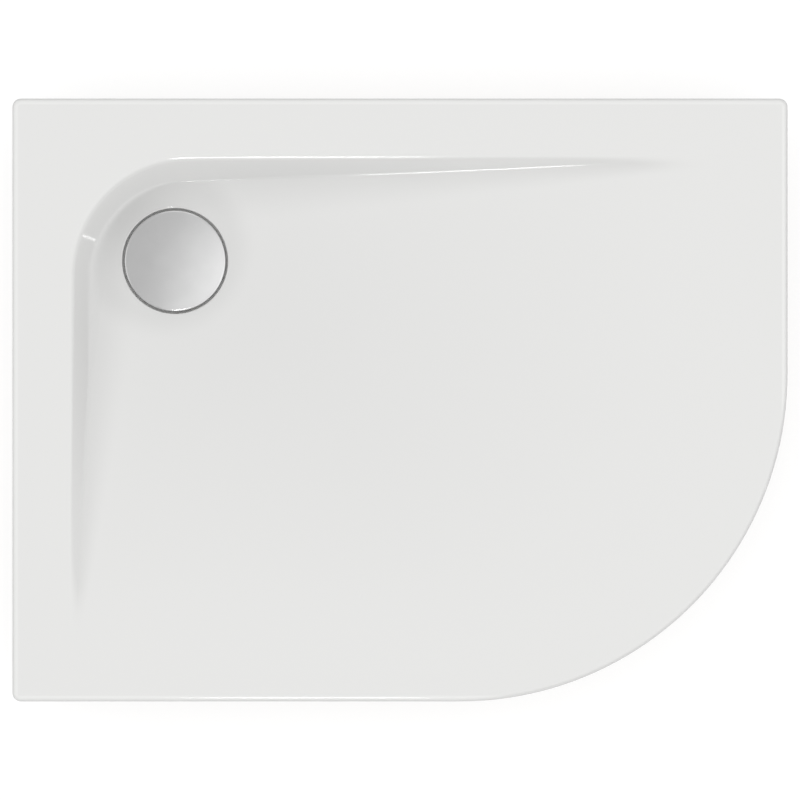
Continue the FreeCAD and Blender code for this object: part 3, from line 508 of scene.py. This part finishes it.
def stud_patches(low, high):
    """A stud from its pin in the foot up to its top: pin, collar, hexagon and thread."""
    x, y = (low.x + high.x) / 2, (low.y + high.y) / 2
    collar = low.z + PIN_LENGTH
    hexagon = collar + STUD_COLLAR_HEIGHT
    thread = hexagon + STUD_HEX_HEIGHT
    thread_end = high.z - STUD_CHAMFER
    core = THREAD_RADIUS - THREAD_DEPTH
    pin_and_collar = [
        (low.z, 0.0),
        (low.z, PIN_RADIUS - STUD_CHAMFER),
        (low.z + STUD_CHAMFER, PIN_RADIUS),
        (collar, PIN_RADIUS),
        (collar, STUD_COLLAR_RADIUS - STUD_CHAMFER),
        (collar + STUD_CHAMFER, STUD_COLLAR_RADIUS),
        (hexagon - STUD_CHAMFER, STUD_COLLAR_RADIUS),
        (hexagon, STUD_COLLAR_RADIUS - STUD_CHAMFER),
        (hexagon, STUD_HEX_FLAT - STUD_CHAMFER),
    ]
    thread_core = [(thread, core), (thread_end, core), (high.z, core - STUD_CHAMFER), (high.z, 0.0)]
    bevel = [HEX_BEVEL_REACH * s**2 for s in spread(BEVEL_RINGS)]
    rows = [round_ring(x, y, z, radius) for z, radius in pin_and_collar]
    rows += [hex_ring(x, y, hexagon + up, up) for up in bevel]
    rows += [hex_ring(x, y, thread - up, up) for up in reversed(bevel)]
    rows += [round_ring(x, y, z, radius) for z, radius in thread_core]
    return [rows, thread_rows(x, y, thread, thread_end)]


leg_places = []
for node in list(frame["nodes"]):
    if node.startswith(STUD_NODE):
        leg = node.removeprefix(STUD_NODE)
        stud_low, stud_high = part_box(node)
        leg_places.append((stud_low + stud_high) / 2)
        stand_for(node, "threaded_stud_" + leg, stud_patches(stud_low, stud_high), "stud_" + leg)

# Countersunk screws; the sizes of the cross recess are shares of the head's radius
SCREW_SHANK = 2 * MM
CLAMP_SCREW_HEAD = 3.6 * MM
CLAMP_SCREW_COUNT = 3
CLAMP_SCREW_CIRCLE = 40.5 * MM
LEG_SCREW_HEAD = 4 * MM
LEG_SCREW_COUNT = 4
LEG_SCREW_CIRCLE = 26 * MM
CROSS_ARM = 0.6
CROSS_HALF_WIDTH = 0.14
CROSS_DEPTH = 0.5
CROSS_TAPER = 0.5


def cross_outline(head):
    """The angles of one turn and the radius of a cross at each, with points at its corners."""
    arm, half = CROSS_ARM * head, CROSS_HALF_WIDTH * head
    eighth, quarter = math.pi / 4, math.pi / 2
    corner = math.atan2(half, arm)
    rising = [0.0, corner, (corner + eighth) / 2]
    arm_angles = rising + [eighth] + [quarter - a for a in rising[:0:-1]]
    turn = [k * quarter + a for k in range(4) for a in arm_angles] + [4 * quarter]
    radii = []
    for angle in turn:
        off_arm = abs((angle + eighth) % quarter - eighth)
        radii.append(min(arm / math.cos(off_arm), half / max(math.sin(off_arm), half / 2 / arm)))
    return turn, radii


def screw_rows(x, y, face, tip, head):
    """A countersunk screw from the bottom of its cross recess to its tip."""
    turn, cross = cross_outline(head)
    down = math.copysign(1.0, tip - face)
    length = abs(tip - face)
    recess = CROSS_DEPTH * head
    sections = [
        (recess, [0.0] * len(turn)),
        (recess, [CROSS_TAPER * radius for radius in cross]),
        (0.0, cross),
    ]
    outline = [
        (0.0, head),
        (head - SCREW_SHANK, SCREW_SHANK),
        (length - SCREW_SHANK, SCREW_SHANK),
        (length, 0.0),
    ]
    sections += [(depth, [radius] * len(turn)) for depth, radius in outline]
    return [
        [(*polar(x, y, radius, a), face + down * depth) for radius, a in zip(radii, turn)]
        for depth, radii in sections
    ]


def circle_places(centre, radius, count, start):
    """Evenly spaced points of a circle about a centre."""
    angles = spread(count, start, start + 2 * math.pi)[:-1]
    return [polar(centre.x, centre.y, radius, angle) for angle in angles]


clamp_low, clamp_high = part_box("clamp_screws")
clamp_places = circle_places(DRAIN, CLAMP_SCREW_CIRCLE, CLAMP_SCREW_COUNT, math.pi / 2)
clamp_rows = [screw_rows(x, y, clamp_high.z, clamp_low.z, CLAMP_SCREW_HEAD) for x, y in clamp_places]
stand_for("clamp_screws", "cross_clamp_screws", clamp_rows, "tray")

leg_low, leg_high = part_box("leg_screws")
leg_rows = [
    screw_rows(x, y, leg_low.z, leg_high.z, LEG_SCREW_HEAD)
    for centre in leg_places
    for x, y in circle_places(centre, LEG_SCREW_CIRCLE, LEG_SCREW_COUNT, math.pi / LEG_SCREW_COUNT)
]
stand_for("leg_screws", "cross_leg_screws", leg_rows, "tray")

# Materials: ranges are (start, end) and reliefs are (strength, height)
UNIT = (0.0, 1.0)
SOFT_DETAIL = 3.0
FINE_DETAIL = 2.0
MOTTLE_STOPS = (0.3, 0.7)

# White acrylic: the deck's own white, and a painted shade that darkens it down to the basin's floor
ACRYLIC_PAINTED_SHADE = (0.742, 0.742, 0.734)
ACRYLIC_WHITE = (0.792, 0.792, 0.782)
ACRYLIC_CLOUDS = 4.0
ACRYLIC_UNEVEN = 0.16
ACRYLIC_IOR = 1.49
ACRYLIC_SHEEN = 25.0
ACRYLIC_ROUGH = (0.05, 0.09)
ACRYLIC_RIPPLES = 90.0
ACRYLIC_RIPPLE_DETAIL = 1.0
ACRYLIC_RELIEF = (0.02, 0.2 * MM)

# Painted shade on the basin's floor, where shade falls: along the foot of the walls, round the waste and
# in the corner
INSIDE_FROM = (8 * MM, 20 * MM)
BELOW_DECK = (DECK, DECK - 2.5 * MM)
FLAT_FROM = (0.78, 1.0)
FOOT_FADE = (85 * MM, 25 * MM)
FOOT_SHADE = 0.112
WASTE_SPOT = (DRAIN.x - 14 * MM, DRAIN.y + 16 * MM, BASIN_FLOOR)
WASTE_FADE = (111 * MM, 76 * MM)
WASTE_SHADE = 0.08
CORNER_SPOT = (CORNER_X - 68 * MM, CORNER_Y + 68 * MM, BASIN_FLOOR)
CORNER_FADE = (92 * MM, 0.0)
CORNER_SHADE = 0.117

# Painted highlight: a lighter band along the straight outer edges
EDGE_BAND = (8 * MM, 6 * MM)
EDGE_PAINTED_HIGHLIGHT = 0.06
EDGE_FLAT_FROM = (0.55, 0.88)

RESIN_COLOURS = ((0.3, (0.50, 0.45, 0.34)), (0.55, (0.62, 0.58, 0.47)), (0.75, (0.72, 0.69, 0.60)))
RESIN_STRANDS = 90.0
RESIN_STRAND_DETAIL = 4.0
RESIN_STRAND_STRETCH = (1.0, 0.15, 1.0)
RESIN_ROUGH = 0.55
RESIN_RELIEF = (0.5, 1 * MM)

BOARD_COLOURS = ((0.1, (0.30, 0.19, 0.09)), (0.5, (0.52, 0.37, 0.21)), (0.9, (0.68, 0.53, 0.34)))
COARSE_CHIPS = 300.0
COARSE_SHARE = 0.45
FINE_CHIPS = 800.0
FINE_SHARE = 0.55
CHIP_RAGGED = 0.6
CHIP_STRETCH = (1.0, 0.45, 1.0)
BOARD_ROUGH = 0.45
BOARD_RELIEF = (0.25, 0.4 * MM)

RUBBER_DARK = (0.016, 0.016, 0.016)
RUBBER_LIGHT = (0.028, 0.028, 0.028)
RUBBER_MOTTLE = 60.0
RUBBER_GRAIN = 900.0
RUBBER_ROUGH = 0.75
RUBBER_RELIEF = (0.3, 0.2 * MM)

PLASTIC_MOTTLE = 30.0
PLASTIC_SHEEN = 200.0
PLASTIC_RELIEF = (0.15, 0.2 * MM)
PLASTICS = {
    "white_plastic": dict(
        dark=(0.74, 0.74, 0.72), light=(0.79, 0.79, 0.77), rough=(0.35, 0.5), grain=1500.0
    ),
    "trap_plastic": dict(
        dark=(0.56, 0.56, 0.55), light=(0.61, 0.61, 0.60), rough=(0.35, 0.5), grain=1200.0
    ),
    "black_plastic": dict(
        dark=(0.022, 0.022, 0.023), light=(0.034, 0.034, 0.035), rough=(0.4, 0.55), grain=1500.0
    ),
}

METAL_MOTTLE = 40.0
METALS = {
    "chrome_plate": dict(
        dark=(0.575, 0.575, 0.575), light=(0.595, 0.595, 0.595), rough=(0.18, 0.24), grain=300.0
    ),
    "stainless": dict(
        dark=(0.55, 0.55, 0.53), light=(0.62, 0.62, 0.60), rough=(0.2, 0.4), grain=500.0,
        stretch=(1.0, 12.0, 1.0),
    ),
    "zinc_steel": dict(
        dark=(0.52, 0.54, 0.57), light=(0.62, 0.62, 0.60), rough=(0.25, 0.45), grain=350.0
    ),
}


def feed(tree, socket, value):
    """Sets a socket to a value, or links it to the socket that the value comes from."""
    if isinstance(value, bpy.types.NodeSocket):
        tree.links.new(value, socket)
    else:
        socket.default_value = value


def add_node(tree, kind, inputs=None, operation=None):
    """A shader node, with its inputs by name or number as values or as sockets of other nodes."""
    node = tree.nodes.new("ShaderNode" + kind)
    if operation:
        node.operation = operation
    for key, value in (inputs or {}).items():
        feed(tree, node.inputs[key], value)
    return node


def maths(tree, operation, first, second):
    """A sum, product or the like of two numbers."""
    return add_node(tree, "Math", {0: first, 1: second}, operation).outputs[0]


def vector_maths(tree, operation, *values):
    """A node that works on vectors; its result is its output Vector or Value."""
    return add_node(tree, "VectorMath", dict(enumerate(values)), operation)


def mapped(tree, value, source, target, smooth=False):
    """A value mapped from the range source to the range target, and held beyond its ends."""
    names = ("From Min", "From Max", "To Min", "To Max")
    node = add_node(tree, "MapRange", {"Value": value, **dict(zip(names, (*source, *target)))})
    node.interpolation_type = "SMOOTHSTEP" if smooth else "LINEAR"
    return node.outputs["Result"]


def noise(tree, place, scale, detail=SOFT_DETAIL, stretch=None):
    """Soft random values from 0 to 1; stretch packs them closer along an axis."""
    if stretch:
        place = add_node(tree, "Mapping", {"Vector": place, "Scale": stretch}).outputs["Vector"]
    return add_node(tree, "TexNoise", {"Vector": place, "Scale": scale, "Detail": detail}).outputs["Fac"]


def ramp(tree, value, stops):
    """Colours along a value, from (position, colour) stops."""
    node = add_node(tree, "ValToRGB", {"Fac": value})
    elements = node.color_ramp.elements
    while len(elements) < len(stops):
        elements.new(0.5)
    for element, (position, colour) in zip(elements, stops):
        element.position = position
        element.color = (*colour, 1.0)
    return node.outputs["Color"]


def mottled(tree, place, scale, dark, light):
    """A slightly uneven colour."""
    return ramp(tree, noise(tree, place, scale), list(zip(MOTTLE_STOPS, (dark, light))))


def up_part(tree, vector):
    """The upward part of a vector."""
    return add_node(tree, "SeparateXYZ", {0: vector}).outputs["Z"]


def new_material(name):
    """A material with its node tree, its shader and the object's own coordinates."""
    material = bpy.data.materials.new(name)
    material.use_nodes = True
    tree = material.node_tree
    place = add_node(tree, "TexCoord").outputs["Object"]
    return material, tree, tree.nodes["Principled BSDF"], place


def set_surface(tree, shader, colour, rough, height=None, relief=None):
    """Gives a shader its colour and roughness, and the relief of a height if there is one."""
    feed(tree, shader.inputs["Base Color"], colour)
    feed(tree, shader.inputs["Roughness"], rough)
    if relief:
        strength, depth = relief
        bump = add_node(tree, "Bump", {"Height": height, "Strength": strength, "Distance": depth})
        feed(tree, shader.inputs["Normal"], bump.outputs["Normal"])


def inside(tree, place, corner, outward, radius):
    """How far a place lies inside a round corner and the two straight edges that run on from it."""
    shift = [-side * middle for side, middle in zip(outward, corner)]
    beyond = vector_maths(tree, "MULTIPLY_ADD", place, (*outward, 0.0), (*shift, 0.0)).outputs["Vector"]
    clear = vector_maths(tree, "MAXIMUM", beyond, (0.0, 0.0, 0.0)).outputs["Vector"]
    length = vector_maths(tree, "LENGTH", clear).outputs["Value"]
    return maths(tree, "SUBTRACT", radius, length)


def painted_edge_highlight(tree, place, upward):
    """A painted highlight: a lighter band along the straight outer edges, on surfaces that face up."""
    back_left = (LEFT + CORNER_RADIUS, BACK - CORNER_RADIUS)
    front_right = (RIGHT - CORNER_RADIUS, FRONT + CORNER_RADIUS)
    left_and_back = inside(tree, place, back_left, (-1.0, 1.0), CORNER_RADIUS)
    right_and_front = inside(tree, place, front_right, (1.0, -1.0), CORNER_RADIUS)
    edge = maths(tree, "MINIMUM", left_and_back, right_and_front)
    band = mapped(tree, edge, EDGE_BAND, (0.0, EDGE_PAINTED_HIGHLIGHT), smooth=True)
    flat = mapped(tree, upward, EDGE_FLAT_FROM, UNIT, smooth=True)
    return maths(tree, "MULTIPLY", band, flat)


def painted_floor_shade(tree, place, height, upward):
    """Painted shade: darkening on the floor along the foot of the walls, round the waste and in the
    corner.
    """
    reach = mapped(tree, height, (BASIN_FLOOR, DECK), (1.0, WALL_TIP_SHARE))
    rim = inside(tree, place, (CORNER_X, CORNER_Y), (-1.0, 1.0), BASIN_CORNER_RADIUS)
    depth = maths(tree, "DIVIDE", rim, reach)
    shade = mapped(tree, depth, FOOT_FADE, (0.0, FOOT_SHADE), smooth=True)
    spots = ((WASTE_SPOT, WASTE_FADE, WASTE_SHADE), (CORNER_SPOT, CORNER_FADE, CORNER_SHADE))
    for spot, fade, most in spots:
        away = vector_maths(tree, "DISTANCE", place, spot).outputs["Value"]
        shade = maths(tree, "ADD", shade, mapped(tree, away, fade, (0.0, most), smooth=True))
    for value, start in ((depth, INSIDE_FROM), (height, BELOW_DECK), (upward, FLAT_FROM)):
        shade = maths(tree, "MULTIPLY", shade, mapped(tree, value, start, UNIT, smooth=True))
    return shade


def white_acrylic(name):
    """Glossy white sheet, with painted shade that darkens it towards the basin's floor and a painted
    highlight along its outer edges.
    """
    material, tree, shader, place = new_material(name)
    height = up_part(tree, place)
    upward = up_part(tree, add_node(tree, "TexCoord").outputs["Normal"])
    # Painted shade: darker with depth, from the deck down to the basin's floor, with a random unevenness
    # of tone from the clouds
    height_share = mapped(tree, height, (BASIN_FLOOR, DECK), UNIT)
    clouds = maths(tree, "MULTIPLY", noise(tree, place, ACRYLIC_CLOUDS), ACRYLIC_UNEVEN)
    tint = ramp(tree, maths(tree, "ADD", height_share, clouds), ((0.0, ACRYLIC_PAINTED_SHADE), (1.0, ACRYLIC_WHITE)))
    # Painted shade on the floor darkens the colour along the walls, round the waste and in the corner
    light = maths(tree, "SUBTRACT", 1.0, painted_floor_shade(tree, place, height, upward))
    # A painted highlight lightens a band along the straight outer edges
    light = maths(tree, "ADD", light, painted_edge_highlight(tree, place, upward))
    colour = add_node(tree, "VectorMath", {0: tint, "Scale": light}, "SCALE").outputs["Vector"]
    rough = mapped(tree, noise(tree, place, ACRYLIC_SHEEN), UNIT, ACRYLIC_ROUGH)
    ripples = noise(tree, place, ACRYLIC_RIPPLES, ACRYLIC_RIPPLE_DETAIL)
    set_surface(tree, shader, colour, rough, ripples, ACRYLIC_RELIEF)
    feed(tree, shader.inputs["IOR"], ACRYLIC_IOR)
    return material


def filled_resin(name):
    """Cast resin with chopped glass strands showing in it."""
    material, tree, shader, place = new_material(name)
    strands = noise(tree, place, RESIN_STRANDS, RESIN_STRAND_DETAIL, RESIN_STRAND_STRETCH)
    set_surface(tree, shader, ramp(tree, strands, RESIN_COLOURS), RESIN_ROUGH, strands, RESIN_RELIEF)
    return material


def chips(tree, place, scale):
    """A random grey for each chip of a pressed board, with ragged edges."""
    ragged = add_node(tree, "TexNoise", {"Vector": place, "Scale": scale * 2}).outputs["Color"]
    shifted = vector_maths(tree, "MULTIPLY_ADD", ragged, (CHIP_RAGGED / scale,) * 3, place)
    stretched = add_node(tree, "Mapping", {"Vector": shifted.outputs["Vector"], "Scale": CHIP_STRETCH})
    cells = add_node(tree, "TexVoronoi", {"Vector": stretched.outputs["Vector"], "Scale": scale})
    return add_node(tree, "SeparateColor", {"Color": cells.outputs["Color"]}).outputs["Red"]


def chipboard(name):
    """Pressed chips of several browns and sizes under a thin sealing coat."""
    material, tree, shader, place = new_material(name)
    coarse = maths(tree, "MULTIPLY", chips(tree, place, COARSE_CHIPS), COARSE_SHARE)
    fine = maths(tree, "MULTIPLY", chips(tree, place, FINE_CHIPS), FINE_SHARE)
    shade = maths(tree, "ADD", coarse, fine)
    set_surface(tree, shader, ramp(tree, shade, BOARD_COLOURS), BOARD_ROUGH, shade, BOARD_RELIEF)
    return material


def rubber(name):
    """Matt black rubber with a fine grain."""
    material, tree, shader, place = new_material(name)
    colour = mottled(tree, place, RUBBER_MOTTLE, RUBBER_DARK, RUBBER_LIGHT)
    grain = noise(tree, place, RUBBER_GRAIN, FINE_DETAIL)
    set_surface(tree, shader, colour, RUBBER_ROUGH, grain, RUBBER_RELIEF)
    return material


def plastic(name, dark, light, rough, grain):
    """Moulded plastic: a slightly uneven colour and a fine spark-eroded grain."""
    material, tree, shader, place = new_material(name)
    colour = mottled(tree, place, PLASTIC_MOTTLE, dark, light)
    sheen = mapped(tree, noise(tree, place, PLASTIC_SHEEN), UNIT, rough)
    set_surface(tree, shader, colour, sheen, noise(tree, place, grain, FINE_DETAIL), PLASTIC_RELIEF)
    return material


def metal(name, dark, light, rough, grain, stretch=None):
    """Metal with a fine grain in its polish."""
    material, tree, shader, place = new_material(name)
    colour = mottled(tree, place, METAL_MOTTLE, dark, light)
    polish = mapped(tree, noise(tree, place, grain, FINE_DETAIL, stretch), UNIT, rough)
    set_surface(tree, shader, colour, polish)
    feed(tree, shader.inputs["Metallic"], 1.0)
    return material


MATERIALS = {
    "white_acrylic": white_acrylic("white_acrylic"),
    "filled_resin": filled_resin("filled_resin"),
    "board": chipboard("board"),
    "black_rubber": rubber("black_rubber"),
}
for name, look in PLASTICS.items():
    MATERIALS[name] = plastic(name, **look)
for name, look in METALS.items():
    MATERIALS[name] = metal(name, **look)
for node, piece in [*frame["nodes"].items(), *new_pieces.items()]:
    piece.data.materials.clear()
    piece.data.materials.append(MATERIALS[SLOTS[node]])

# Stage: floor, sky and lamps
FLOOR_SIZE = 24.0
FLOOR_DROP = 0.2 * MM
FLOOR_GLOW = 0.78
FLOOR_COLOUR = (0.30, 0.30, 0.30, 1.0)
FLOOR_BOUNCE = (0.65, 0.65, 0.65, 1.0)

# Sky: soft light that fades away from an axis, and a panel that only reflections show
WHITE = (1.0, 1.0, 1.0, 1.0)
SKY_RANGE = (0.126, 1.572)
SKY_AXIS = (-0.03, -0.05, 1.0)
SKY_FADE = (0.2, 1.0)
GLOSS_RANGE = (0.74, 1.66)
GLOSS_AXIS = (0.611, -0.199, 0.766)
GLOSS_FADE = (0.5, 1.0)
GLOSS_POWER = 2.0

# Lamps: azimuth and zenith angle from the middle of the deck in degrees, lengths in metres
LAMPS = {
    "front_lamp": dict(azimuth=-93.7, zenith=34.0, distance=6.0, width=0.52, height=0.93, radiance=20.0),
    "glint_lamp": dict(azimuth=-19.8, zenith=84.8, distance=6.0, width=0.13, height=0.36, radiance=9.0),
    "left_lamp": dict(azimuth=180.0, zenith=58.0, distance=5.0, width=3.0, height=3.2, radiance=0.55),
    "back_lamp": dict(azimuth=90.0, zenith=58.0, distance=5.0, width=3.0, height=3.2, radiance=0.55),
}


def mixed(tree, share, first, second):
    """A mix of two shaders."""
    return add_node(tree, "MixShader", {0: share, 1: first, 2: second}).outputs[0]


def make_floor():
    """A pale floor that looks white in the light and keeps the tray's shadow."""
    bpy.ops.mesh.primitive_plane_add(size=FLOOR_SIZE, location=(0, 0, -FLOOR_DROP))
    floor = bpy.context.object
    floor.name = "floor"
    material = bpy.data.materials.new("floor")
    material.use_nodes = True
    tree = material.node_tree
    tree.nodes.clear()
    matt = add_node(tree, "BsdfDiffuse", {"Color": FLOOR_COLOUR}).outputs[0]
    glow = add_node(tree, "Emission", {"Strength": FLOOR_GLOW}).outputs[0]
    lit = add_node(tree, "AddShader", {0: matt, 1: glow}).outputs[0]
    bounce = add_node(tree, "BsdfDiffuse", {"Color": FLOOR_BOUNCE}).outputs[0]
    path = add_node(tree, "LightPath").outputs
    mirrored = maths(tree, "MAXIMUM", path["Is Glossy Ray"], path["Is Transmission Ray"])
    seen = maths(tree, "MAXIMUM", path["Is Camera Ray"], mirrored)
    add_node(tree, "OutputMaterial", {"Surface": mixed(tree, seen, bounce, lit)})
    floor.data.materials.append(material)


def towards(tree, direction, axis):
    """The cosine of the angle between a direction and an axis."""
    return vector_maths(tree, "DOT_PRODUCT", direction, Vector(axis).normalized()).outputs["Value"]


def background(tree, strength):
    """A white background."""
    return add_node(tree, "Background", {"Color": WHITE, "Strength": strength}).outputs[0]


def make_sky():
    """White to the eye, a white studio with a brighter side to reflections, and soft light from above."""
    world = bpy.data.worlds.new("studio")
    bpy.context.scene.world = world
    world.use_nodes = True
    tree = world.node_tree
    tree.nodes.clear()
    direction = add_node(tree, "TexCoord").outputs["Generated"]
    soft = mapped(tree, towards(tree, direction, SKY_AXIS), SKY_FADE, SKY_RANGE, smooth=True)
    near = mapped(tree, towards(tree, direction, GLOSS_AXIS), GLOSS_FADE, UNIT)
    gloss = mapped(tree, maths(tree, "POWER", near, GLOSS_POWER), UNIT, GLOSS_RANGE)
    path = add_node(tree, "LightPath").outputs
    mirrored = maths(tree, "MAXIMUM", path["Is Glossy Ray"], path["Is Transmission Ray"])
    unseen = mixed(tree, mirrored, background(tree, soft), background(tree, gloss))
    sky = mixed(tree, path["Is Camera Ray"], unseen, background(tree, 1.0))
    add_node(tree, "OutputWorld", {"Surface": sky})


def highlight_lamp(name, azimuth, zenith, distance, width, height, radiance):
    """A flat lamp that only shows as a reflection, in a direction from the middle of the deck."""
    data = bpy.data.lights.new(name, "AREA")
    data.shape = "RECTANGLE"
    data.size = width
    data.size_y = height
    data.energy = radiance * math.pi * width * height
    lamp = bpy.data.objects.new(name, data)
    bpy.context.scene.collection.objects.link(lamp)
    turn, tilt = math.radians(azimuth), math.radians(zenith)
    away = Vector((*polar(0.0, 0.0, math.sin(tilt), turn), math.cos(tilt)))
    lamp.location = Vector((0, 0, DECK)) + away * distance
    lamp.rotation_euler = (-away).to_track_quat("-Z", "Y").to_euler()
    lamp.visible_diffuse = False
    lamp.visible_camera = False


make_floor()
make_sky()
for name, values in LAMPS.items():
    highlight_lamp(name, **values)

# Camera: straight above, as far away as a long lens needs
PHOTO_SIDE = 800
TRAY_PIXELS = 776
CAMERA_DISTANCE = 6.0
CAMERA_REACH = 100.0
SENSOR = 36.0

scene = bpy.context.scene
camera_data = bpy.data.cameras.new("camera")
camera_data.sensor_width = SENSOR
camera_data.lens = SENSOR * CAMERA_DISTANCE / ((RIGHT - LEFT) * PHOTO_SIDE / TRAY_PIXELS)
camera_data.clip_end = CAMERA_REACH
camera = bpy.data.objects.new("camera", camera_data)
scene.collection.objects.link(camera)
camera.location = ((LEFT + RIGHT) / 2, (FRONT + BACK) / 2, DECK + CAMERA_DISTANCE)
scene.camera = camera
scene.view_settings.view_transform = "Standard"
